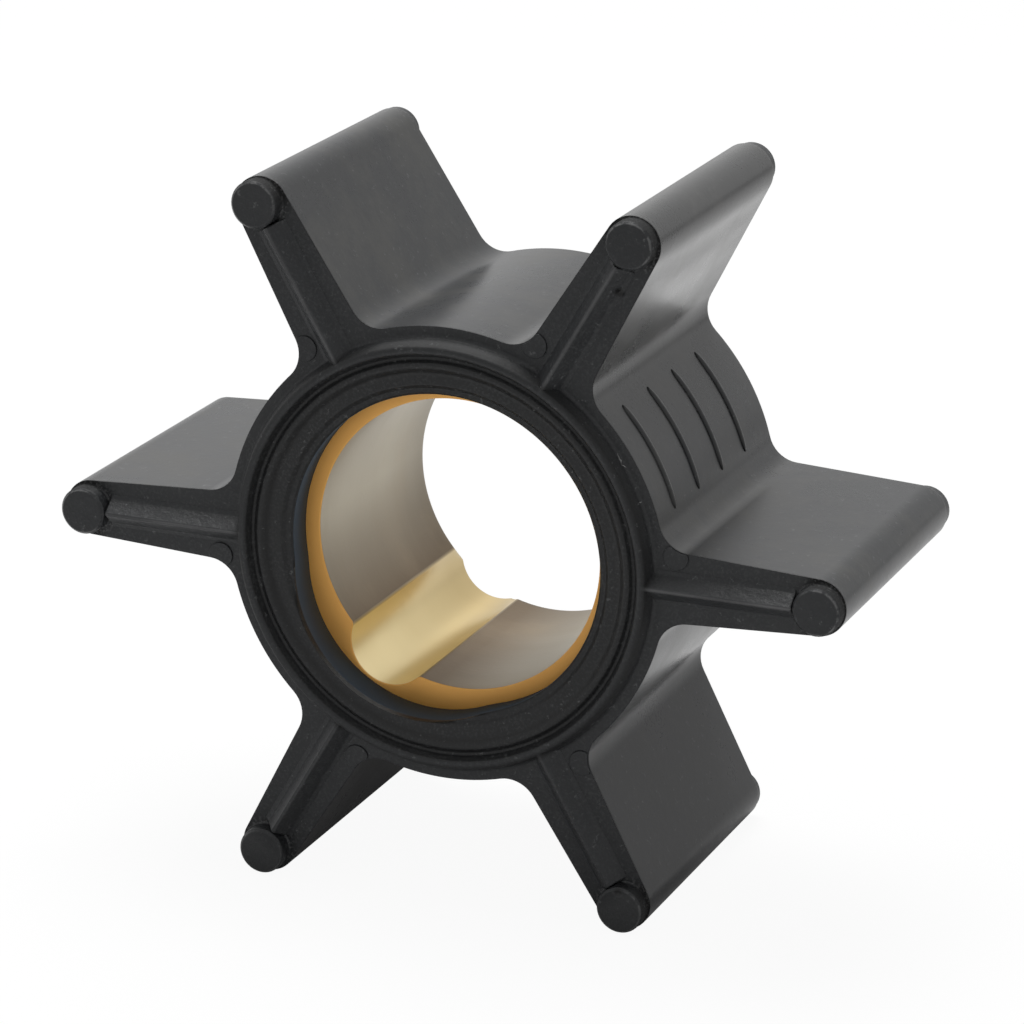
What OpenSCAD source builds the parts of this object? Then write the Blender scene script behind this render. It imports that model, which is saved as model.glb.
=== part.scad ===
// Rubber pump impeller: a wheel with six flexible vanes moulded onto a brass shaft insert.
// The axis runs along Y with the front face toward -Y; Z is up, and the wheel stands on two vane tips.
// The origin is on the axis, halfway through the width. Lengths are in millimetres.

/* [Wheel] */
// Diameter over the tips of two opposite vanes
outer_d = 62; // [58:0.5:70]
// Width over the rims and the tip pads of both faces
wheel_w = 26.4; // [24:0.2:34]
// Number of vanes round the hub
vane_n = 6; // [5:1:7]
// Height of the rims and the tip pads above the ends of the vanes
seal_h = 1.25; // [1.1:0.05:1.6]

/* [Vanes] */
// Thickness of a vane at its rounded tip
tip_t = 4.28; // [3.6:0.04:5]
// Thickness of a vane where its straight side would meet the hub
root_t = 5.5; // [5:0.1:7]
// Radius of the fillet between a vane and the hub
root_fillet = 2.4; // [1.5:0.1:3.5]

/* [Tip pads and ribs] */
// Diameter of the round pad on each end of a vane tip
pad_d = 3.6; // [3:0.05:3.7]
// Distance from the axis to the middle of a pad
pad_at = 29.1; // [27.2:0.05:29.15]
// Width of the broken edge round the top of a pad
pad_edge = 0.2; // [0.05:0.05:0.5]
// Clear gap between the end of a rib and its pad
rib_gap = 0.25; // [0.1:0.05:2]
// Width of the foot of a rib on the vane's end
rib_foot = 2.5; // [1.9:0.1:3]
// Width of the narrow crest of a rib
rib_crest = 0.25; // [0.1:0.05:0.6]
// Drop from the top of a pad to the crest of a rib
rib_drop = 0.1; // [0.05:0.05:0.4]

/* [Seal rings] */
// Width of the flat top of the outer rim
rim_t = 0.55; // [0.4:0.05:1.2]
// Reach of the slope on the outside of the rim
rim_slope = 0.45; // [0.2:0.05:0.8]
// Width of the flat ledge between the rim and the hub's side
ledge_w = 0.85; // [0.4:0.05:1.6]
// Width of the groove inside the rim, measured at its mouth
groove_w = 0.8; // [0.6:0.05:1.2]
// Depth of that groove below the rim
groove_h = 0.9; // [0.7:0.05:1.1]
// Width of the flat top of the inner ring
ring_t = 0.35; // [0.3:0.05:1.2]
// Drop from the rim to the top of the inner ring
ring_drop = 0.5; // [0.2:0.05:0.6]
// Drop from the rim to the terrace inside the inner ring
terrace_drop = 0.95; // [0.7:0.05:1.1]
// Drop from the rim to the lip round the mouth of the hub
lip_drop = 1.3; // [1.2:0.05:1.8]

/* [Shaft insert] */
// Diameter of the bore for the shaft
bore_d = 22.4; // [18:0.1:22.6]
// Length of the straight part of the bore
bore_l = 19.24; // [12:0.2:20]
// Reach of the flare behind the straight bore, beyond the bore's wall
flare_t = 1.3; // [0.4:0.1:1.8]
// Depth of the insert's front face below the rim
insert_drop = 3.96; // [2.5:0.02:5]
// Diameter of the round-bottomed keyway
key_d = 6.4; // [5:0.1:7]
// Distance of the keyway's middle inside the bore's wall
key_sink = 1.04; // [0.6:0.02:1.4]
// Thickness of brass left behind the keyway
key_back = 0.59; // [0.5:0.01:1.5]
// Angle of the keyway, counted from +X toward +Z
key_angle = 237.2; // [0:0.2:360]
// Brass left showing round the keyway's mouth
key_margin = 0.2; // [0.1:0.05:0.4]
// Distance from the axis to the middle of the bulge that opens the hub's mouth over the keyway
bulge_at = 3.2; // [2:0.1:4]
// Number of grip grooves on the outside of the insert, filled by the rubber
grip_n = 8; // [4:1:12]
// Radius of a grip groove
grip_r = 0.5; // [0.3:0.05:0.6]

/* [Hidden] */
$fn = 96;
cut = 1;
half_w = wheel_w / 2;
vane_w = wheel_w - 2 * seal_h;
bore_r = bore_d / 2;
key_r = key_d / 2;
key_at = bore_r - key_sink;
insert_r = key_at + key_r + key_back;
bulge_r = key_at + key_r + key_margin - bulge_at;

// Radii of the rings, counted outward from the insert
riser_run = 0.45;
ring_in = insert_r + riser_run;
ring_out = ring_in + ring_t;
rim_in = ring_out + groove_w;
rim_out = rim_in + rim_t;
ledge_in = rim_out + rim_slope;
hub_r = ledge_in + ledge_w;
groove_foot = 0.1;
groove_floor = 0.3;
groove_lean = 0.15;

// Radii of the lip round the hub's mouth, counted inward from the insert
terrace_w = 0.9;
lip_run = 0.35;
lip_t = 0.3;
lip_edge = 0.2;
mouth_draft = 0.15;
terrace_in = insert_r - terrace_w;
lip_out = terrace_in - lip_run;
lip_in = lip_out - lip_t;
mouth_r = lip_in - lip_edge;
seat_r = mouth_r + mouth_draft;

// Heights of the insert along the axis, the front being positive
insert_front = half_w - insert_drop;
insert_back = terrace_drop - half_w;
bore_back = insert_front - bore_l;
grip_land = 3;

// The straight side of a vane leans by this angle, and touches the round of the tip
tip_r = tip_t / 2;
tip_at = outer_d / 2 - tip_r;
side_run = tip_at - hub_r;
side_reach = norm([root_t / 2, side_run]);
lean = acos(tip_r / side_reach) - atan2(side_run, root_t / 2);
side_off = tip_at * sin(lean) + tip_r;

// Middle of the root fillet: its own radius away from the side and from the hub
fillet_off = (side_off + root_fillet) / cos(lean);
fillet_reach = hub_r + root_fillet;
slope = tan(lean);
slope_sq = 1 + slope * slope;
fillet_root = sqrt(pow(fillet_off * slope, 2) - slope_sq * (pow(fillet_off, 2) - pow(fillet_reach, 2)));
fillet_x = (fillet_off * slope + fillet_root) / slope_sq;
fillet_y = fillet_off - slope * fillet_x;

// Rings of one face as [radius, depth below the rim], from the seat of the insert to the hub's side
FACE = [
    [seat_r, insert_drop],
    [mouth_r, lip_drop + lip_edge],
    [lip_in, lip_drop],
    [lip_out, lip_drop],
    [terrace_in, terrace_drop],
    [insert_r, terrace_drop],
    [ring_in, ring_drop],
    [ring_out, ring_drop],
    [ring_out + groove_lean, ring_drop + groove_lean],
    [rim_in - groove_foot - groove_floor, groove_h],
    [rim_in - groove_foot, groove_h],
    [rim_in, 0],
    [rim_out, 0],
    [ledge_in, seal_h],
    [hub_r, seal_h]
];
// The back face has no lip, so its rings start at the insert
BACK_START = 5;

// Revolved hub with the rings of both faces
module hub() {
    front = [for (p = FACE) [p[0], half_w - p[1]]];
    back = [for (i = [len(FACE) - 1:-1:BACK_START]) [FACE[i][0], FACE[i][1] - half_w]];
    rotate_extrude() polygon(concat(front, back, [[seat_r, insert_back]]));
}

// Concave web that blends one side of a vane into the hub
module root_web() {
    fillet_mid = [fillet_x, fillet_y];
    on_hub = fillet_mid * hub_r / fillet_reach;
    on_side = fillet_mid - root_fillet * [sin(lean), cos(lean)];
    difference() {
        polygon([[insert_r, 0], on_side, fillet_mid, on_hub]);
        translate(fillet_mid) circle(r = root_fillet);
    }
}

// Outline of a vane along +X, from the insert's edge to its rounded tip
module vane_outline() {
    tip_touch = [tip_at + tip_r * sin(lean), tip_r * cos(lean)];
    foot = [insert_r, (side_off - insert_r * sin(lean)) / cos(lean)];
    polygon([foot, tip_touch, [tip_touch[0], -tip_touch[1]], [foot[0], -foot[1]]]);
    translate([tip_at, 0]) circle(r = tip_r);
    root_web();
    mirror([0, 1]) root_web();
}

// Round pad at the tip of a vane's end
module tip_pad() {
    base = half_w - seal_h;
    pad_r = pad_d / 2;
    translate([pad_at, 0, base - cut]) rotate_extrude() polygon([
        [0, 0],
        [pad_r, 0],
        [pad_r, cut + seal_h - pad_edge],
        [pad_r - pad_edge, cut + seal_h],
        [0, cut + seal_h]
    ]);
}

// Narrow-crested rib along the middle of a vane's end, from inside the rim to short of the pad
module end_rib() {
    foot_flare = 0.3;
    flare_h = 0.12;
    base = half_w - seal_h;
    crest = half_w - rib_drop;
    rib_from = rim_in + rim_t / 2;
    rib_l = pad_at - pad_d / 2 - rib_gap - rib_from;
    translate([rib_from, 0, 0]) rotate([90, 0, 90]) linear_extrude(height = rib_l) polygon([
        [-rib_foot / 2, base - flare_h],
        [rib_foot / 2, base - flare_h],
        [rib_foot / 2, base],
        [rib_foot / 2 - foot_flare, base + flare_h],
        [rib_crest / 2, crest],
        [-rib_crest / 2, crest],
        [foot_flare - rib_foot / 2, base + flare_h],
        [-rib_foot / 2, base]
    ]);
}

// Pad and rib on one end of a vane
module vane_end() {
    tip_pad();
    end_rib();
}

// Outside of the insert, which is also the pocket in the rubber
module insert_blank(past) {
    difference() {
        translate([0, 0, insert_back - past]) cylinder(r = insert_r, h = insert_front - insert_back + past);
        for (i = [0:grip_n - 1]) rotate(key_angle + (i + 0.5) * 360 / grip_n)
            translate([insert_r, 0, insert_back + grip_land])
                cylinder(r = grip_r, h = insert_front - insert_back - 2 * grip_land, $fn = 24);
    }
}

// Rubber body: hub, vanes, ribs and pads, open over the insert and its keyway
module rubber_impeller() {
    color("#2a2c2e") rotate([90, 0, 0]) difference() {
        union() {
            hub();
            for (i = [0:vane_n - 1]) rotate(i * 360 / vane_n) {
                translate([0, 0, -vane_w / 2]) linear_extrude(height = vane_w) vane_outline();
                vane_end();
                mirror([0, 0, 1]) vane_end();
            }
        }
        insert_blank(cut);
        translate([0, 0, insert_back]) cylinder(r = seat_r, h = insert_front - insert_back);
        rotate(key_angle) translate([bulge_at, 0, insert_front]) cylinder(r = bulge_r, h = insert_drop + cut);
    }
}

// Brass insert: straight bore, flared back end and a half-round keyway through its length
module brass_insert() {
    flare_l = bore_back - insert_back;
    flare_past = cut * flare_t / flare_l;
    color("#b58d52") rotate([90, 0, 0]) difference() {
        insert_blank(0);
        translate([0, 0, insert_back - cut]) cylinder(r = bore_r, h = insert_front - insert_back + 2 * cut);
        translate([0, 0, insert_back - cut])
            cylinder(r1 = bore_r + flare_t + flare_past, r2 = bore_r, h = flare_l + cut);
        rotate(key_angle) translate([key_at, 0, insert_back - cut])
            cylinder(r = key_r, h = insert_front - insert_back + 2 * cut);
    }
}

rubber_impeller();
brass_insert();
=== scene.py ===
"""Dresses the pump impeller: black moulded rubber on a brass shaft insert, standing on two vane tips.

It lies in the part's own frame: the shaft axis is Y, the front face looks toward -Y and Z is up. Shapes and
finishes are worked out in millimetres, and a mesh becomes metres when it is made.
"""

import math

import bmesh
import bpy
import numpy as np
from mathutils import Matrix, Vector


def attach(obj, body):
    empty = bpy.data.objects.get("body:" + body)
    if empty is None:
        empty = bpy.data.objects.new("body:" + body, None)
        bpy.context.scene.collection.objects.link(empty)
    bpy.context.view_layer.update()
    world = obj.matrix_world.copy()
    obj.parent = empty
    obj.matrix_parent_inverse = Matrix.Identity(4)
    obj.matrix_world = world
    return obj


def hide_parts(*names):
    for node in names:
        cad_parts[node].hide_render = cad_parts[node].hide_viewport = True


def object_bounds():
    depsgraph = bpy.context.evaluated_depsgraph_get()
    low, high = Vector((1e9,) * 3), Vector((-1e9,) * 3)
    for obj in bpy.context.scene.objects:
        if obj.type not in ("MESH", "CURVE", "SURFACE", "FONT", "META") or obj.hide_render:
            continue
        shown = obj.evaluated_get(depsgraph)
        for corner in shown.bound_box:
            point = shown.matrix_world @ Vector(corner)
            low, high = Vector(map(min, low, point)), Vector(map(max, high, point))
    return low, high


MM = 0.001

# Wheel and vanes, in millimetres
HALF_W = 13.2
SEAL_H = 1.25
END_Y = HALF_W - SEAL_H
VANES = 6
VANE_STEP = 2 * math.pi / VANES
TIP_R = 2.14
TIP_AT = 28.86
ROOT_T = 5.5
ROOT_FILLET = 2.4
HUB_R = 17.4
SIDE_EDGE = 0.05

# Points on half a vane's outline, by stretch, and steps of a rounded edge, a pad, a boss and a bar
TIP_POINTS = 15
ROOT_POINTS = 10
HUB_POINTS = 12
SIDE_SHARES = (0.01, 0.1, 0.35, 0.65, 0.9, 0.99)
EDGE_POINTS = 5
PAD_POINTS = 44
BOSS_POINTS = 36
BAR_POINTS = (48, 16)

# Mesh points closer together than this, in metres, become one
MERGE_WITHIN = 1e-7

# Tip pads, and the ribs that run out to them
PAD_AT = 29.1
PAD_R = 1.8
PAD_EDGE = 0.2
FOOT_H = 0.15
RIB_FROM = 15.8
RIB_TO = 27.22
RIB_FOOT = 2.5
RIB_CREST = 0.25
RIB_H = 1.15
BURIED = 0.2

# Shaft insert, with its keyway and the bulge that opens the hub's mouth over it
INSERT_R = 13.95
INSERT_FRONT = -9.24
INSERT_BACK = 12.25
BORE_R = 11.2
BORE_BACK = 10.0
FLARE_R = 12.5
KEY_R = 3.2
KEY_AT = 10.16
KEY_ANGLE = math.radians(237.2)
BULGE_AT = 3.2
BULGE_R = 10.36

# Corners of the front face from the hub's mouth outward: radius, depth below the rim and rounding
TERRACE_DROP = 0.95
LEDGE_R = 17.0
FRONT_RINGS = [
    (12.35, 4.02, 0),
    (12.2, 1.5, 0.12),
    (12.4, 1.3, 0.1),
    (12.7, 1.3, 0.15),
    (13.05, TERRACE_DROP, 0.2),
    (13.9, TERRACE_DROP, 0.4),
    (14.45, 0.5, 0.35),
    (14.75, 0.5, 0.25),
    (15.17, 0.92, 0.5),
    (15.6, 0, 0.3),
    (16.1, 0, 0.3),
    (16.55, SEAL_H, 0.35),
    (LEDGE_R, SEAL_H, 0),
]
# The back face has no lip round a mouth: it starts at the insert and goes on with the inner ring
INNER_RING = 6
BACK_RINGS = [(INSERT_R, TERRACE_DROP, 0)] + FRONT_RINGS[INNER_RING:]

# Radii of those rings where the rubber's finish changes
RIM_IN = 15.55
RISER_AT = 14.15
GROOVE_AT = 15.15
RIM_AT = 16.2
RIM_FOOT_AT = 16.55

# The mouth opens over the keyway up to this radius, and its wall starts at this y behind the lip
MOUTH_LIMIT = 14.2
MOUTH_FROM = -11.75

# Low round bosses of the ejector pins beside each rib's root
PIN_ALONG = 18.1
PIN_ACROSS = 2.3
PIN_R = 0.97
PIN_H = 0.12
PIN_GAP = 0.08

# Plain raised bars on the hub between two vanes, each from one (angle in degrees, y) to another
RAISED_BARS = [((44, y), (16, y)) for y in (-8.5, -3.5, 1.5, 6.5)]
BAR_HALF_W = 0.3
BAR_H = 0.2

# Nicks in the ends of two vanes: the vane's angle in degrees, then the place along and across it
NICKS = [(60, 25.4, -1.0), (300, 27.8, 0.7)]
NICK_R = 0.42

# Camera, worked out from the tip pads, the vane ends and the hub's rings
EYE = (123.17 * MM, -298.43 * MM, 105.46 * MM)
EYE_RIGHT = (0.92419, 0.3819, 0.00556)
EYE_UP = (-0.12367, 0.28544, 0.95038)
EYE_BACK = (0.36136, -0.87902, 0.31103)
LENS = 158.13
SENSOR_WIDTH = 36

# White room: half the floor's width in metres, the world's strengths, and the one lamp over the part
FLOOR_REACH = 4.0
DIM = 0.3
WHITE = (1, 1, 1)
LAMP_PLACE = (-0.1, 0.15, 0.5)
LAMP_SIZE = 0.35
LAMP_POWER = 3.3

# The colour sockets of a Mix node, whose names it repeats for each data type
MIX_FIRST = 6
MIX_SECOND = 7
MIX_RESULT = 2


class Num:
    """A number in a shader: Python's operators on it add Math nodes."""

    def __init__(self, nodes, socket):
        self.nodes = nodes
        self.socket = socket

    def _math(self, operation, *values, clamp=False):
        settings = {"operation": operation, "use_clamp": clamp}
        node = self.nodes.add("ShaderNodeMath", settings, dict(enumerate(values)))
        return Num(self.nodes, node.outputs[0])

    def __add__(self, other):
        return self._math("ADD", self, other)

    def __radd__(self, other):
        return self._math("ADD", other, self)

    def __sub__(self, other):
        return self._math("SUBTRACT", self, other)

    def __rsub__(self, other):
        return self._math("SUBTRACT", other, self)

    def __mul__(self, other):
        return self._math("MULTIPLY", self, other)

    def __rmul__(self, other):
        return self._math("MULTIPLY", other, self)

    def __abs__(self):
        return self._math("ABSOLUTE", self)

    def at_most(self, other):
        return self._math("MINIMUM", self, other)

    def at_least(self, other):
        return self._math("MAXIMUM", self, other)

    def length_with(self, other):
        """Length of the vector that has this number and the other as its two parts."""
        return self._math("SQRT", self * self + other * other)

    def cosine(self):
        return self._math("COSINE", self)

    def sine(self):
        return self._math("SINE", self)

    def angle_over(self, other):
        return self._math("ARCTAN2", self, other)

    def wrapped(self, low, high):
        return self._math("WRAP", self, high, low)

    def above(self, start, width):
        """0 below start, rising evenly to 1 over the width."""
        return self._math("MULTIPLY", self - start, 1 / width, clamp=True)

    def below(self, start, width):
        """1 below start, falling evenly to 0 over the width."""
        return 1 - self.above(start, width)

    def near(self, middle, half):
        """1 at the middle value, falling evenly to 0 at half on either side."""
        return self._math("SUBTRACT", 1, abs(self - middle) * (1 / half), clamp=True)


class Nodes:
    """A node tree that one method fills."""

    def __init__(self, tree):
        self.tree = tree
        tree.nodes.clear()

    def add(self, kind, settings=None, inputs=None):
        """Adds a node: its settings first, then the values or links of its sockets."""
        node = self.tree.nodes.new(kind)
        for key, value in (settings or {}).items():
            setattr(node, key, value)
        for key, value in (inputs or {}).items():
            if isinstance(value, Num):
                value = value.socket
            if isinstance(value, bpy.types.NodeSocket):
                self.tree.links.new(value, node.inputs[key])
            else:
                node.inputs[key].default_value = value
        return node

    def mix(self, share, first, second):
        """A shader that goes over from the first to the second as the share nears 1."""
        return self.add("ShaderNodeMixShader", {}, {0: share, 1: first.outputs[0], 2: second.outputs[0]})

    def rays(self):
        """Two numbers: 1 on the camera's own rays, and 1 on rays that came by a mirror or through glass."""
        path = self.add("ShaderNodeLightPath")
        kinds = ("Is Camera Ray", "Is Glossy Ray", "Is Transmission Ray")
        camera, glossy, through = (Num(self, path.outputs[kind]) for kind in kinds)
        return camera, glossy.at_least(through)


class Finish(Nodes):
    """One procedural material on Object coordinates, with x, y and z in millimetres."""

    def __init__(self, name, preview):
        self.material = bpy.data.materials.new(name)
        self.material.use_nodes = True
        self.material.diffuse_color = rgba(preview)
        super().__init__(self.material.node_tree)
        self.place = self.add("ShaderNodeTexCoord").outputs["Object"]
        split = self.add("ShaderNodeSeparateXYZ", {}, {0: self.place})
        self.x, self.y, self.z = (Num(self, split.outputs[i]) * (1 / MM) for i in range(3))

    def away_from(self, x, z):
        """Distance from a line along the shaft at (x, z)."""
        return (self.x - x).length_with(self.z - z)

    def turn_from(self, angle):
        """How far round the shaft a point lies from the given angle, to either side, in radians."""
        turn = self.z.angle_over(self.x) + (3 * math.pi - angle)
        return abs(turn.wrapped(0, 2 * math.pi) - math.pi)

    def noise(self, scale, detail=3.0, roughness=0.55, stretch=(1, 1, 1)):
        """Noise from 0 to 1; scale is in waves per metre, and stretch lengthens the grain along an axis."""
        place = self.place
        if stretch != (1, 1, 1):
            squeeze = {"Vector": place, "Scale": [1 / s for s in stretch]}
            place = self.add("ShaderNodeMapping", {}, squeeze).outputs[0]
        inputs = {"Vector": place, "Scale": scale, "Detail": detail, "Roughness": roughness}
        return Num(self, self.add("ShaderNodeTexNoise", {}, inputs).outputs[0])

    def blend(self, share, first, second):
        """A colour: the first where the share is 0, the second where it is 1."""
        settings = {"data_type": "RGBA", "clamp_factor": True}
        inputs = {"Factor": share, MIX_FIRST: rgba(first), MIX_SECOND: rgba(second)}
        return self.add("ShaderNodeMix", settings, inputs).outputs[MIX_RESULT]

    def layered(self, base, layers):
        """The base colour, with each layer (share, colour) laid over those before it."""
        for share, colour in layers:
            base = self.blend(share, base, colour)
        return base

    def relief(self, layers):
        """The normal of layers of relief, each a height from 0 to 1 and the depth in mm that 1 stands for."""
        normal = None
        for height, depth in layers:
            inputs = {"Height": height, "Strength": 1.0, "Distance": depth * MM}
            if normal is not None:
                inputs["Normal"] = normal
            normal = self.add("ShaderNodeBump", {}, inputs).outputs[0]
        return normal

    def matt(self, colour):
        """A matt shader of one colour."""
        return self.add("ShaderNodeBsdfDiffuse", {}, {"Color": rgba(colour)})

    def finished(self, shader):
        """The material, with that shader on its surface."""
        self.add("ShaderNodeOutputMaterial", {}, {"Surface": shader.outputs[0]})
        return self.material


def rgba(colour):
    """A plain colour with its alpha; a socket stays as it is."""
    return (*colour, 1) if isinstance(colour, tuple) else colour


def on_vane(degrees, along, across):
    """The (x, z) of a point that lies along and across the vane at that angle."""
    c, s = math.cos(math.radians(degrees)), math.sin(math.radians(degrees))
    return along * c - across * s, along * s + across * c


class RubberMasks:
    """Shares from 0 to 1 over the rubber: its noises, and the places of the wheel where its look changes."""

    def __init__(self, f):
        self.cloud = f.noise(95, 4)
        self.bloom = f.noise(170, 6, 0.7).above(0.46, 0.2)
        self.grain = f.noise(4500, 2)
        self.fine = f.noise(1500, 3, 0.65)
        radius = f.away_from(0, 0)
        self.rings = abs(f.y).above(HALF_W - 4, 0.2) * radius.below(RIM_IN - 0.1, 0.2)
        self.face = abs(f.y).above(END_Y - 0.03, 0.02).at_least(self.rings)
        self.side = 1 - self.face
        self.front = f.y.below(0, 1)
        self.low_left = f.x.below(0, 1) * f.z.below(-14, 1)
        self.find_rings(f, radius)
        self.find_vane_ends(f, radius)
        self.find_sides(f, radius)

    def find_rings(self, f, radius):
        """The steps of the hub's face, the wall of its mouth, and the rubbed foot of the rim at the right."""
        # The riser, the groove and the rim are darkened in the rubber's colour as painted shade
        self.riser = radius.near(RISER_AT, 0.35) * self.face
        self.groove = radius.near(GROOVE_AT, 0.6).at_most(0.12) * self.face
        self.rim = radius.near(RIM_AT, 0.45) * self.face
        self.mouth = radius.below(MOUTH_LIMIT, 0.1) * f.y.below(-6, 1) * f.y.above(MOUTH_FROM, 0.1)
        foot = radius.near(RIM_FOOT_AT, 0.09) * f.y.below(-HALF_W + 1.4, 0.2)
        self.rubbed = foot * f.x.above(13.4, 0.5) * f.z.above(5.5, 0.8)

    def find_vane_ends(self, f, radius):
        """The pads, ribs and nicks of the vanes' ends.

        Each vane has its own frame: along runs outward on its middle line, and across is the way to its
        counterclockwise side.
        """
        turn = f.z.angle_over(f.x).wrapped(-VANE_STEP / 2, VANE_STEP / 2)
        along = radius * turn.cosine()
        across = radius * turn.sine()
        self.to_pad = (along - PAD_AT).length_with(across)
        beyond = along.above(PAD_AT - 1.4, 1.0) * self.face
        self.pad = self.to_pad.below(PAD_R - 0.2, 0.1) * beyond
        self.pad_rim = self.to_pad.near(PAD_R - 0.14, 0.1) * beyond
        self.pad_foot = self.to_pad.near(PAD_R + 0.25, 0.4) * abs(f.y).near(HALF_W - 1.2, 0.8)
        self.ledge = self.to_pad.above(PAD_R - 0.04, 0.04) * beyond * (1 - self.low_left * 0.8) * self.front
        top = abs(across).near(0, 0.2) * abs(f.y).above(HALF_W - 0.35, 0.15)
        within = along.above(RIB_FROM, 1) * along.below(RIB_TO, 0.3)
        # Painted highlight on the rib crests, stronger on the upper vanes, mixed with rubbed wear
        self.crest = top * within * (f.z.above(-14, 10) * 0.8 + 0.2)
        first, second = (f.away_from(*on_vane(*nick)).near(0, NICK_R) for nick in NICKS)
        self.nick = (first + second) * self.face * self.front

    def find_sides(self, f, radius):
        """The places on the sides of the hub and the vanes that carry painted highlights and painted shade,
        and the wiped glossy place.

        Outward runs out along the upper right vane, and past is the way to its clockwise side.
        """
        c, s = math.cos(VANE_STEP), math.sin(VANE_STEP)
        outward = f.x * c + f.z * s
        past = f.x * s - f.z * c
        self.high = f.z.above(-24, 22)
        # Painted highlight: paler colour on the sides at the upper right
        self.upper_right_highlight = f.x.above(2, 10) * f.z.above(8, 8) * self.side
        # Painted highlight: a pale line along the right vane's root fillet
        root = radius.near(HUB_R + 1.2, 0.8) * f.x.above(14, 1)
        self.fillet_highlight = root * f.z.above(1, 1) * f.z.below(6, 1) * self.side
        # Painted shade: a darker matt on the sides of the two lower vanes
        under_left = past.above(0.5, 0.5) * self.low_left * 0.75
        under_right = f.x.above(4, 2) * f.z.below(-14, 1) * 0.3
        self.shaded_sides = under_left.at_least(under_right) * self.side
        patches = f.noise(150, 3, 0.5, (1, 3, 1)).above(0.38, 0.24) * 0.36 + 0.04
        clockwise = past.above(1.2, 0.5) * self.side
        self.wiped = outward.above(20, 3) * outward.below(28.2, 0.8) * clockwise * patches


def rubber_colour(f, at):
    """Black rubber under layers of dust, grain and bloom, with painted highlights on the sides, painted shade
    on the ring steps and in the nicks, pale crests partly rubbed and partly painted highlight, and specks.
    """
    flow = f.noise(240, 3, 0.6, (1, 9, 1))
    dust = at.cloud.above(0.42, 0.3) * 0.6 + flow.above(0.5, 0.25) * 0.4
    patchy = f.noise(260, 3, 0.6).above(0.4, 0.3) * 0.7 + 0.3
    face_grain = at.grain.above(0.5, 0.12) * at.face * patchy * at.to_pad.above(PAD_R - 0.3, 0.2)
    speck = at.fine.above(0.62, 0.05) * at.grain.above(0.5, 0.1)
    scratch = f.noise(700, 2, 0.5).near(0.5, 0.02).above(0.2, 0.3)
    return f.layered((0.02, 0.021, 0.0225), [
        # Grey dust, a fine grain, a cloudy bloom on the sides, and a painted highlight on the upper right
        # sides
        (dust * at.high, (0.03, 0.031, 0.032)),
        (at.grain.above(0.45, 0.25) * at.fine.above(0.4, 0.3) * 0.6, (0.045, 0.047, 0.049)),
        (at.bloom * at.side * at.high * 0.7, (0.052, 0.051, 0.047)),
        (at.upper_right_highlight * (0.5 + at.bloom * 0.5), (0.07, 0.07, 0.068)),
        # Painted highlight: a pale line where the right vane's side runs into the hub
        (at.fillet_highlight * (0.4 + at.bloom * 0.3), (0.12, 0.12, 0.118)),
        # Darker rings inside the rim as painted shade of the recess, a patchy grain on the whole face, and
        # near-black painted shade in the groove, on the riser, beside the pads and on the rim
        (at.rings * 0.65, (0.008, 0.008, 0.008)),
        (face_grain * 0.45, (0.05, 0.052, 0.053)),
        (at.groove.at_least(at.ledge * 0.9).at_least(at.riser * 0.8), (0.004, 0.004, 0.004)),
        (at.rim * 0.8, (0.007, 0.007, 0.007)),
        # Pale crests of the ribs and pale edges of the pads in spots: partly rubbed wear, partly painted
        # highlight, the crests stronger on the upper vanes
        (at.crest * (0.35 + at.cloud.above(0.4, 0.25) * 0.65), (0.12, 0.12, 0.122)),
        (at.pad_rim * at.fine.above(0.42, 0.12) * 0.7, (0.16, 0.16, 0.16)),
        # Pale specks all over, and dust round the feet of the pads
        (speck * 0.5, (0.11, 0.112, 0.113)),
        (at.pad_foot * at.grain.above(0.52, 0.08) * 0.4, (0.14, 0.14, 0.14)),
        # Painted shade in the nicks, greyer tops on the lower pads, and scratches at the foot of the rim
        (at.nick.above(0.1, 0.4), (0.006, 0.006, 0.006)),
        (at.pad * f.z.below(-8, 6) * 0.6, (0.048, 0.049, 0.05)),
        (at.rubbed * scratch * 0.8, (0.45, 0.45, 0.44)),
    ])


def rubber_finish():
    """Satin black rubber, with a pale bluish matt painted as light on the wall of the hub's mouth, a darker
    matt painted as shade on the lower vanes' sides, and a glossy wiped patch on one vane.
    """
    f = Finish("moulded_rubber", (0.03, 0.032, 0.034))
    at = RubberMasks(f)
    rough = 0.22 + at.face * 0.1 + at.cloud * 0.08 + at.bloom * 0.05 + at.grain * 0.05
    rough = rough + at.groove.at_least(at.ledge) * 0.45 + at.rim * 0.28
    # The moulded grain is full on the faces and faint on the smooth sides; the nicks are the deepest
    coarse = at.face * 0.85 + 0.15
    normal = f.relief([
        (at.grain * coarse, 0.018),
        (at.fine * coarse, 0.045),
        (f.noise(330, 2) * coarse, 0.07),
        (1 - at.nick, 0.15),
    ])
    satin = f.add("ShaderNodeBsdfPrincipled", {}, {
        "Base Color": rubber_colour(f, at),
        "Roughness": rough,
        "Specular IOR Level": 0.25,
        "Coat Weight": at.wiped,
        "Coat Roughness": 0.2,
        "Normal": normal,
    })
    # Painted shade on the lower vanes' sides, as a darker matt mixed in
    outside = f.mix(at.shaded_sides, satin, f.matt((0.062, 0.061, 0.061)))
    # Painted light: a pale bluish matt instead of the black rubber on the wall of the hub's mouth
    return f.finished(f.mix(at.mouth, outside, f.matt((0.11, 0.138, 0.175))))


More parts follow.
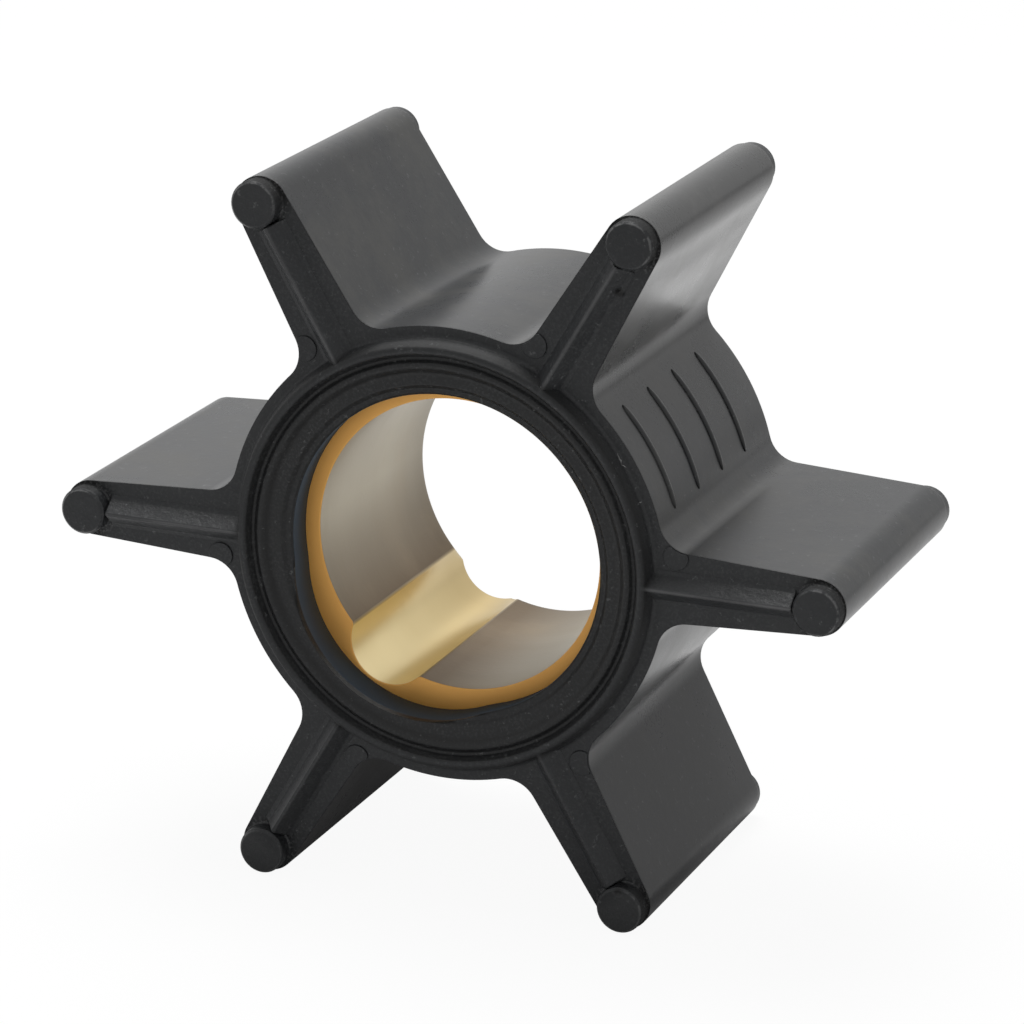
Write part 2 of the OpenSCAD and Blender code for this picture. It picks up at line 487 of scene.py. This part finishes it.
def brass_finish():
    """Bored brass: a grey satin wall with painted shade in soft bands beside the keyway and toward the back,
    an orange front face painted darker toward its inner edge, and a yellow keyway painted paler at the front
    and darker at the back.
    """
    f = Finish("bored_brass", (0.5, 0.38, 0.2))
    radius = f.away_from(0, 0)
    to_key = f.away_from(KEY_AT * math.cos(KEY_ANGLE), KEY_AT * math.sin(KEY_ANGLE))
    front = f.y.below(INSERT_FRONT + 0.06, 0.05)
    key = to_key.below(KEY_R + 0.1, 0.25) * radius.above(BORE_R, 0.25) * (1 - front)
    lines = f.noise(420, 3, 0.6, (9, 1, 9))
    stain = f.noise(130, 4, 0.6)
    bands = f.noise(120, 2, 0.5, (1, 12, 1))
    grain = f.noise(2600, 2)

    # Painted shade on the wall: brown beside the keyway, fading to grey over the next 44 degrees with soft
    # bands, and darker toward the back
    key_shade_middle = KEY_ANGLE + 0.05
    key_shade = f.turn_from(key_shade_middle).below(math.radians(20), math.radians(44)) + (bands - 0.5) * 0.3
    wall = f.layered((0.39, 0.35, 0.275), [
        (key_shade, (0.165, 0.123, 0.08)),
        (f.y.above(2.5, 7) * 0.35, (0.05, 0.035, 0.02)),
        (stain.above(0.5, 0.3) * 0.3, (0.34, 0.27, 0.18)),
    ])
    # Painted light and shade: the keyway is paler at the front and darker toward the back
    gilt = f.blend(f.y.above(-9, 19), (0.82, 0.68, 0.38), (0.5, 0.385, 0.19))
    # Painted shade: the front face is darker toward its inner edge
    ring = f.blend(radius.below(12.4, 1) * 0.25, (1, 0.54, 0.14), (0.6, 0.3, 0.07))
    bored = 1 - key * 0.9
    satin = f.add("ShaderNodeBsdfPrincipled", {}, {
        "Base Color": f.layered(wall, [(key, gilt), (front, ring)]),
        "Metallic": 1 - front * 0.7,
        "Roughness": 0.36 + lines * 0.1 + front * 0.2 + stain * 0.08 - key * 0.07,
        "Normal": f.relief([(lines * bored, 0.012), (grain * bored, 0.006)]),
    })
    return f.finished(satin)


def floor_finish():
    """White paper: it shows white to the camera and keeps a soft shadow."""
    f = Finish("white_paper", WHITE)
    camera, mirrored = f.rays()
    glow = f.add("ShaderNodeEmission", {}, {"Color": rgba(WHITE), "Strength": 1.0})
    return f.finished(f.mix(camera * 0.94 + mirrored * 0.15, f.matt((0.9, 0.9, 0.9)), glow))


def ways(angles):
    """Unit vectors of the angles, as (cosine, sine) in a last axis."""
    return np.stack([np.cos(angles), np.sin(angles)], -1)


def standing(flat, y):
    """Points (x, y, z) from points (x, z) as seen along the shaft and their y."""
    return np.stack([flat[..., 0], np.broadcast_to(y, flat.shape[:-1]), flat[..., 1]], -1)


def turned(points, angle):
    """The points (x, y, z) turned about the shaft axis, counterclockwise as seen from the front."""
    c, s = math.cos(angle), math.sin(angle)
    x, z = points[..., 0], points[..., 2]
    return np.stack([x * c - z * s, points[..., 1], x * s + z * c], -1)


def edge_steps(radius):
    """What a rounded edge takes off across and along the shaft, from the flat end round to the side."""
    angle = np.linspace(0, math.pi / 2, EDGE_POINTS)
    return radius * (1 - np.sin(angle)), radius * (1 - np.cos(angle))


def soft_max(first, second, softness):
    """The larger of two values, with the change from one to the other rounded."""
    return (first + second + np.sqrt((first - second) ** 2 + softness ** 2)) / 2


def rounded(corners, turns=3):
    """The points of a chain of corners (x, y, rounding), with an arc at each corner that has a rounding.

    Each arc touches both of its sides, and takes up to 0.45 of the shorter one. A point just before and just
    after it keeps the shading of the flats true.
    """
    most = 0.45
    lead, lead_share = 0.03, 0.04
    chain = []
    last = len(corners) - 1
    for i, (x, y, r) in enumerate(corners):
        corner = np.array([x, y], float)
        if r == 0 or i in (0, last):
            chain.append(corner[None])
            continue
        before, after = (np.array(corners[n][:2], float) - corner for n in (i - 1, i + 1))
        long_before, long_after = np.linalg.norm(before), np.linalg.norm(after)
        before, after = before / long_before, after / long_after
        half = np.arccos(np.clip(before @ after, -1, 1)) / 2
        back = min(r / np.tan(half), most * long_before, most * long_after)
        radius = back * np.tan(half)
        middle = corner + (before + after) / np.linalg.norm(before + after) * radius / np.sin(half)
        start, end = corner + before * back - middle, corner + after * back - middle
        from_angle = np.arctan2(start[1], start[0])
        sweep = np.angle(np.exp(1j * (np.arctan2(end[1], end[0]) - from_angle)))
        arc = middle + radius * ways(from_angle + sweep * np.linspace(0, 1, turns + 1))
        step = min(lead, lead_share * long_before, lead_share * long_after)
        chain += [(arc[0] + before * step)[None], arc, (arc[-1] + after * step)[None]]
    return np.concatenate(chain)


def grid_faces(rows, columns, wrap_rows, wrap_columns):
    """Quads of a grid of points, counted row by row; a wrapped direction closes on itself."""
    used_rows = np.arange(rows - (not wrap_rows))
    used_columns = np.arange(columns - (not wrap_columns))
    row, column = np.meshgrid(used_rows, used_columns, indexing="ij")
    here, beside = row * columns, (row + 1) % rows * columns
    next_column = (column + 1) % columns
    corners = [here + column, here + next_column, beside + next_column, beside + column]
    return np.stack(corners, -1).reshape(-1, 4)


def make_piece(name, grids):
    """One closed smooth mesh from grids (points in mm, wrap_rows, wrap_columns).

    A row or column whose points all fall on one place becomes a pole.
    """
    points, faces, count = [], [], 0
    for grid, wrap_rows, wrap_columns in grids:
        points.append(grid.reshape(-1, 3) * MM)
        faces.append(grid_faces(*grid.shape[:2], wrap_rows, wrap_columns) + count)
        count += points[-1].shape[0]
    mesh = bpy.data.meshes.new(name)
    mesh.from_pydata(np.concatenate(points).tolist(), [], np.concatenate(faces).tolist())
    shell = bmesh.new()
    shell.from_mesh(mesh)
    bmesh.ops.remove_doubles(shell, verts=shell.verts, dist=MERGE_WITHIN)
    bmesh.ops.recalc_face_normals(shell, faces=shell.faces)
    for face in shell.faces:
        face.smooth = True
    shell.to_mesh(mesh)
    shell.free()
    piece = bpy.data.objects.new(name, mesh)
    bpy.context.scene.collection.objects.link(piece)
    return piece


def root_fillet():
    """How far a vane's side leans, and the middle of its root fillet as (along, across)."""
    side_run = TIP_AT - HUB_R
    lean = math.acos(TIP_R / math.hypot(ROOT_T / 2, side_run)) - math.atan2(side_run, ROOT_T / 2)
    side_off = TIP_AT * math.sin(lean) + TIP_R
    slope = math.tan(lean)
    off = (side_off + ROOT_FILLET) / math.cos(lean)
    reach = HUB_R + ROOT_FILLET
    square = 1 + slope * slope
    fillet_x = (off * slope + math.sqrt((off * slope) ** 2 - square * (off * off - reach * reach))) / square
    return lean, np.array([fillet_x, off - slope * fillet_x])


def wheel_outline():
    """The wheel's outline, counterclockwise, with its outward normals: two arrays of (x, z).

    Half a vane is the tip's arc, the leaning side that touches it, the concave root fillet that touches the
    side and the hub, and the hub's arc up to halfway to the next vane; the other half is its mirror image.
    """
    lean, fillet = root_fillet()
    side_way = math.pi / 2 - lean
    hub_way = math.atan2(fillet[1], fillet[0])
    tip_n = ways(np.linspace(0, side_way, TIP_POINTS))
    tip = np.array([TIP_AT, 0]) + TIP_R * tip_n
    root_n = ways(np.linspace(side_way, hub_way, ROOT_POINTS))
    root = fillet - ROOT_FILLET * root_n
    side = tip[-1] + (root[0] - tip[-1]) * np.array(SIDE_SHARES)[:, None]
    hub_n = ways(np.linspace(hub_way, VANE_STEP / 2, HUB_POINTS)[1:])
    half = np.concatenate([tip, side, root, HUB_R * hub_n])
    half_n = np.concatenate([tip_n, np.broadcast_to(ways(side_way), side.shape), root_n, hub_n])
    mirror = np.array([1, -1])
    turn = np.arange(VANES) * VANE_STEP
    c, s = np.cos(turn)[:, None], np.sin(turn)[:, None]

    def all_vanes(p):
        whole = np.concatenate([p[:0:-1] * mirror, p[:-1]])
        x, z = whole[:, 0], whole[:, 1]
        return np.stack([x * c - z * s, x * s + z * c], -1).reshape(-1, 2)

    return all_vanes(half), all_vanes(half_n)


def front_chain():
    """The front face's rounded ring points, with five more on the terrace, which the bulge's edge crosses."""
    chain = rounded(FRONT_RINGS)
    terrace = np.flatnonzero(np.abs(chain[:, 1] - TERRACE_DROP) < 1e-6)
    more = np.linspace(*chain[terrace[[1, -2]]], 7)[1:-1]
    return np.insert(chain, terrace[len(terrace) // 2], more, 0)


def wheel_grid():
    """Hub and vanes as one closed grid, with a row for each point of the outline.

    A row is the section from the seat in the hub's mouth over the front rings, out along the vane's end to
    the outline, round its edge, back along the side, and in over the back rings and through the insert's
    pocket to the seat. A ring point stands at its own radius on the row's polar angle; over the keyway the
    mouth's radius is the larger of its own and the bulge circle's distance, softly joined. A point of the
    edge is the outline's point moved inward along its normal by what the rounding takes there.
    """
    outline, normal = wheel_outline()
    angle = np.arctan2(outline[:, 1], outline[:, 0])
    spoke = ways(angle)
    from_key = angle - KEY_ANGLE
    bulge = BULGE_AT * np.cos(from_key) + np.sqrt(BULGE_R ** 2 - (BULGE_AT * np.sin(from_key)) ** 2)
    inset, fall = edge_steps(SIDE_EDGE)

    def rings(radius, y, opens=False):
        radius = np.broadcast_to(radius, (len(angle), len(radius)))
        if opens:
            radius = np.where(radius < MOUTH_LIMIT, soft_max(radius, bulge[:, None], 0.12), radius)
        return standing(spoke[:, None] * radius[..., None], y)

    def along_end(sign):
        inner = spoke * LEDGE_R
        outer = outline - normal * (SIDE_EDGE + 0.03)
        share = np.array([0.25, 0.5, 0.75, 1.0])[:, None]
        return standing(inner[:, None] + (outer - inner)[:, None] * share, sign * END_Y)

    def round_edge(sign):
        return standing(outline[:, None] - normal[:, None] * inset[:, None], sign * (END_Y - fall))

    side_y = np.array([0.16 - END_Y, 0.6 - END_Y, -8, -4, 0, 4, 8, END_Y - 0.6, END_Y - 0.16])
    front = front_chain()
    back = rounded(BACK_RINGS)[::-1]
    # The pocket ends just behind the insert's front face, with its last ring hidden under the lapping rubber
    pocket_end = INSERT_FRONT + 0.06
    pocket_y = [8, 0, -5.2, pocket_end, pocket_end]
    pocket_r = [INSERT_R, INSERT_R, INSERT_R, INSERT_R, 13.6]
    return np.concatenate([
        rings(front[:, 0], front[:, 1] - HALF_W, opens=True),
        along_end(-1),
        round_edge(-1),
        standing(np.broadcast_to(outline[:, None], (len(angle), len(side_y), 2)), side_y),
        round_edge(1)[:, ::-1],
        along_end(1)[:, ::-1],
        rings(back[:, 0], HALF_W - back[:, 1]),
        rings(pocket_r, pocket_y),
    ], 1)


def pad_grid():
    """A front tip pad on the vane along +X, as a closed grid: its rounded profile turned about its middle.

    At its foot a small fillet spreads onto the vane's end, as far as the room up to the end's edge lets it.
    """
    angle = np.linspace(0, 2 * math.pi, PAD_POINTS, endpoint=False)[:, None]
    past_tip = PAD_AT - TIP_AT
    room = np.sqrt(TIP_R ** 2 - (past_tip * np.sin(angle)) ** 2) - past_tip * np.cos(angle)
    foot = np.clip(room - PAD_R - SIDE_EDGE, 0, FOOT_H)
    spread, rise = (share[:-1] for share in edge_steps(1))
    edge = [(PAD_R, SEAL_H - PAD_EDGE, 0.15), (PAD_R - PAD_EDGE, SEAL_H, 0.15)]
    top = rounded([(PAD_R, FOOT_H, 0)] + edge + [(0, SEAL_H, 0)])
    reach = np.concatenate([
        np.zeros_like(foot),
        PAD_R + foot,
        PAD_R + foot * spread,
        np.broadcast_to(top[:, 0], (PAD_POINTS, len(top))),
    ], 1)
    height = np.concatenate([[-BURIED, -BURIED], FOOT_H * rise, top[:, 1]])
    return standing(np.array([PAD_AT, 0]) + reach[..., None] * ways(angle), -END_Y - height)


def rib_grid():
    """A front rib on the vane along +X, as a closed grid.

    Its cross-section, a narrow crest over a wide foot, is carried outward along the vane's middle line. It
    shrinks to a point at both ends, and sinks a little before the outer one.
    """
    foot, crest = RIB_FOOT / 2, RIB_CREST / 2
    left = [(-foot, -BURIED, 0), (-foot, 0.02, 0.02), (0.3 - foot, 0.12, 0.25), (-crest, RIB_H, 0.1)]
    section = rounded(left + [(-x, y, r) for x, y, r in left[::-1]])
    # How tall and how wide the rib is at each place along the vane
    stations = [(RIB_FROM, 0, 0)]
    stations += [(at, 1, 1) for at in (RIB_FROM, RIB_FROM + 0.05, 18, 21, 24, 26, RIB_TO - 0.2)]
    stations += [(RIB_TO - 0.12, 0.99, 1), (RIB_TO - 0.05, 0.97, 0.98)]
    stations += [(RIB_TO, 0.92, 0.95), (RIB_TO, 0.88, 0.93), (RIB_TO, 0, 0)]
    along, tall, wide = np.array(stations).T[..., None]
    across = section[:, 0] * wide
    flat = np.stack([np.broadcast_to(along, across.shape), across], -1)
    return standing(flat, -END_Y - section[:, 1] * tall)


def boss_grid():
    """A low round boss on the front end of the vane along +X, beside the rib's root, as a closed grid.

    On every angle it reaches its radius from its middle, or the root fillet's circle where that is nearer:
    the near solution t of |middle + t * way - fillet| = fillet radius + gap.
    """
    way = ways(np.linspace(0, 2 * math.pi, BOSS_POINTS, endpoint=False))
    middle = np.array([PIN_ALONG, PIN_ACROSS])
    to_fillet = root_fillet()[1] - middle
    toward = way @ to_fillet
    inside = toward ** 2 - to_fillet @ to_fillet + (ROOT_FILLET + PIN_GAP) ** 2
    meets = (inside > 0) & (toward > 0)
    room = np.where(meets, toward - np.sqrt(np.clip(inside, 0, None)), np.inf)
    buried = BURIED / 2
    top = rounded([(1, -buried, 0), (1, PIN_H, 0.06), (0, PIN_H, 0)])
    reach = np.minimum(PIN_R, room)[:, None] * np.concatenate([[0], top[:, 0]])
    height = np.concatenate([[-buried], top[:, 1]])
    return standing(middle + reach[..., None] * way[:, None], -END_Y - height)


def wheel_grids():
    """The wheel, with a pad and a rib on both ends of every vane and a boss on its front end."""
    grids = [(wheel_grid(), True, True)]
    pad, rib, boss = pad_grid(), rib_grid(), boss_grid()
    for angle in np.arange(VANES) * VANE_STEP:
        for flip in (np.array([1, 1, 1]), np.array([1, -1, 1])):
            grids.append((turned(pad * flip, angle), True, False))
            grids.append((turned(rib * flip, angle), False, True))
        grids.append((turned(boss, angle), True, False))
    return grids


def bushing_grid():
    """The insert as one closed grid: a row for each polar angle, a column for each step of the section.

    The bore's radius is the larger of its own and the keyway circle's far side on that angle, softly joined
    so that the keyway's two edges are rounded; behind the straight bore it is the larger of that and the
    flare's cone.
    """
    # The rows are closer across the keyway than round the rest of the bore
    key_span = 26
    close = np.radians(np.linspace(-key_span, key_span, 209))
    wide = np.radians(np.linspace(key_span, 360 - key_span, 232)[1:-1])
    from_key = np.concatenate([close, wide])

    # Beyond the angle at which a spoke no longer meets the keyway's circle, its far side falls off steeply
    steep, key_soft = 40, 0.22
    past = np.clip(np.abs(np.angle(np.exp(1j * from_key))) - math.asin(KEY_R / KEY_AT), 0, None)
    chord = np.sqrt(np.clip(KEY_R ** 2 - (KEY_AT * np.sin(from_key)) ** 2, 0, None))
    key = KEY_AT * np.cos(from_key) + chord - steep * past
    bore = soft_max(np.full(len(key), BORE_R), key, key_soft)
    # Well away from the keyway the soft join's small excess is taken off, so that the bore keeps its radius
    clear = BORE_R - key
    bore -= key_soft ** 2 / (4 * np.clip(clear, 0.4, None)) * (clear > 0.4)

    inset, fall = edge_steps(0.08)
    straight_y = [INSERT_FRONT + 0.14, -6, -3, 0, 3, 6, 9, 9.7, 9.9, BORE_BACK]
    inner_y = straight_y + [10.1, 10.3, 10.8, 11.4, 11.9, INSERT_BACK - 0.14]
    wall_y = np.concatenate([INSERT_FRONT + fall, inner_y, INSERT_BACK - fall[::-1]])
    flare = BORE_R + (FLARE_R - BORE_R) * (wall_y - BORE_BACK) / (INSERT_BACK - BORE_BACK)
    flared = soft_max(bore[:, None], flare, 0.05)
    wall_r = np.where(wall_y > BORE_BACK - 0.5, flared, bore[:, None])
    wall_r = wall_r + np.concatenate([inset, np.zeros(len(inner_y)), inset[::-1]])

    outside = np.full((len(from_key), 1), INSERT_R)
    corner, widest = 0.04, INSERT_R - 0.1
    radius = np.concatenate([
        outside,
        outside - corner,
        np.minimum(bore[:, None] + 0.12, widest),
        wall_r,
        np.minimum(wall_r[:, -1:] + 0.06, widest),
        outside - corner,
        outside,
        outside,
    ], 1)
    front_y = [INSERT_FRONT + corner, INSERT_FRONT, INSERT_FRONT]
    back_y = [INSERT_BACK, INSERT_BACK, INSERT_BACK - corner, 0]
    spoke = ways(from_key + KEY_ANGLE)
    return standing(spoke[:, None] * radius[..., None], np.concatenate([front_y, wall_y, back_y]))


def bar_grid(start, end):
    """A plain raised bar on the hub's side, as a closed ridge laid along a line on the hub.

    It runs evenly from one (angle, y) to the other. Its cross-section is an ellipse on the hub's surface,
    which shrinks to a point at the ends by the root of 1 - s**8, where s runs from -1 to 1 along the bar.
    """
    points_along, points_around = BAR_POINTS
    s = np.sin(np.linspace(-math.pi / 2, math.pi / 2, points_along))[:, None]
    shrink = np.sqrt(np.clip(1 - s ** 8, 0, 1))
    around = np.linspace(0, 2 * math.pi, points_around, endpoint=False)
    angle_0, angle_1 = math.radians(start[0]), math.radians(end[0])
    run = np.array([(angle_1 - angle_0) * HUB_R, end[1] - start[1]])
    run /= np.linalg.norm(run)
    t = (s + 1) / 2
    side = BAR_HALF_W * shrink * np.cos(around)
    reach = HUB_R + BAR_H * shrink * np.sin(around)
    spot = angle_0 + (angle_1 - angle_0) * t - side * run[1] / HUB_R
    y = start[1] + (end[1] - start[1]) * t + side * run[0]
    return standing(reach[..., None] * ways(spot), y)


def set_camera():
    """The camera that the constants give: its place, its three axes and its lens."""
    camera = bpy.data.objects.new("camera", bpy.data.cameras.new("camera"))
    bpy.context.scene.collection.objects.link(camera)
    camera.data.lens = LENS
    camera.data.sensor_width = SENSOR_WIDTH
    camera.data.clip_start = 0.01
    turn = Matrix((EYE_RIGHT, EYE_UP, EYE_BACK)).transposed().to_4x4()
    camera.matrix_world = Matrix.Translation(EYE) @ turn
    bpy.context.scene.camera = camera


def set_lamp():
    """A square soft lamp that looks at the part's middle."""
    data = bpy.data.lights.new("lamp_top", "AREA")
    data.shape = "SQUARE"
    data.size = LAMP_SIZE
    data.energy = LAMP_POWER
    lamp = bpy.data.objects.new("lamp_top", data)
    bpy.context.scene.collection.objects.link(lamp)
    away = np.array(LAMP_PLACE) / np.linalg.norm(LAMP_PLACE)
    side = np.cross((0, 0, 1), away)
    side /= np.linalg.norm(side)
    up = np.cross(away, side)
    lamp.matrix_world = Matrix.Translation(LAMP_PLACE) @ Matrix((side, up, away)).transposed().to_4x4()


def set_floor(low):
    """A pale floor at the height of the lower vane tips."""
    mesh = bpy.data.meshes.new("floor")
    corners = [(x * FLOOR_REACH, y * FLOOR_REACH, low) for x, y in ((-1, -1), (1, -1), (1, 1), (-1, 1))]
    mesh.from_pydata(corners, [], [(0, 1, 2, 3)])
    mesh.materials.append(floor_finish())
    floor = bpy.data.objects.new("floor", mesh)
    bpy.context.scene.collection.objects.link(floor)


def set_world():
    """A white room: pure white to the camera and in mirrors, and dimmer where it lights the part."""
    world = bpy.data.worlds.new("white room")
    bpy.context.scene.world = world
    world.use_nodes = True
    room = Nodes(world.node_tree)
    camera, mirrored = room.rays()
    dim = room.add("ShaderNodeBackground", {}, {"Color": rgba(WHITE), "Strength": DIM})
    full = room.add("ShaderNodeBackground", {}, {"Color": rgba(WHITE), "Strength": 1.0})
    shown = room.mix(camera.at_least(mirrored), dim, full)
    room.add("ShaderNodeOutputWorld", {}, {"Surface": shown.outputs[0]})


bpy.context.scene.view_settings.view_transform = "Standard"
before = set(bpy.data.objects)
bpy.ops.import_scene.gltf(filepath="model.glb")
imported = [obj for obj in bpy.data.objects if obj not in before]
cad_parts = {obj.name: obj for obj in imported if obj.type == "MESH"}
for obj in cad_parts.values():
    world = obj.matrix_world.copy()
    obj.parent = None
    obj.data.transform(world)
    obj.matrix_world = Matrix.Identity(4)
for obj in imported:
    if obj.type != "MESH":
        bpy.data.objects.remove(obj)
box_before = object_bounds()

moulded_rubber = rubber_finish()
rubber = make_piece("rubber_body", wheel_grids())
rubber.data.materials.append(moulded_rubber)
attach(rubber, "root")
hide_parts("rubber_impeller")

bars = make_piece("raised_bars", [(bar_grid(*ends), False, True) for ends in RAISED_BARS])
bars.data.materials.append(moulded_rubber)
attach(bars, "root")

brass = make_piece("brass_bushing", [(bushing_grid(), True, True)])
brass.data.materials.append(brass_finish())
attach(brass, "root")
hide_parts("brass_insert")

set_camera()
set_floor(min(box_before[0][2], box_before[1][2]))
set_world()
set_lamp()
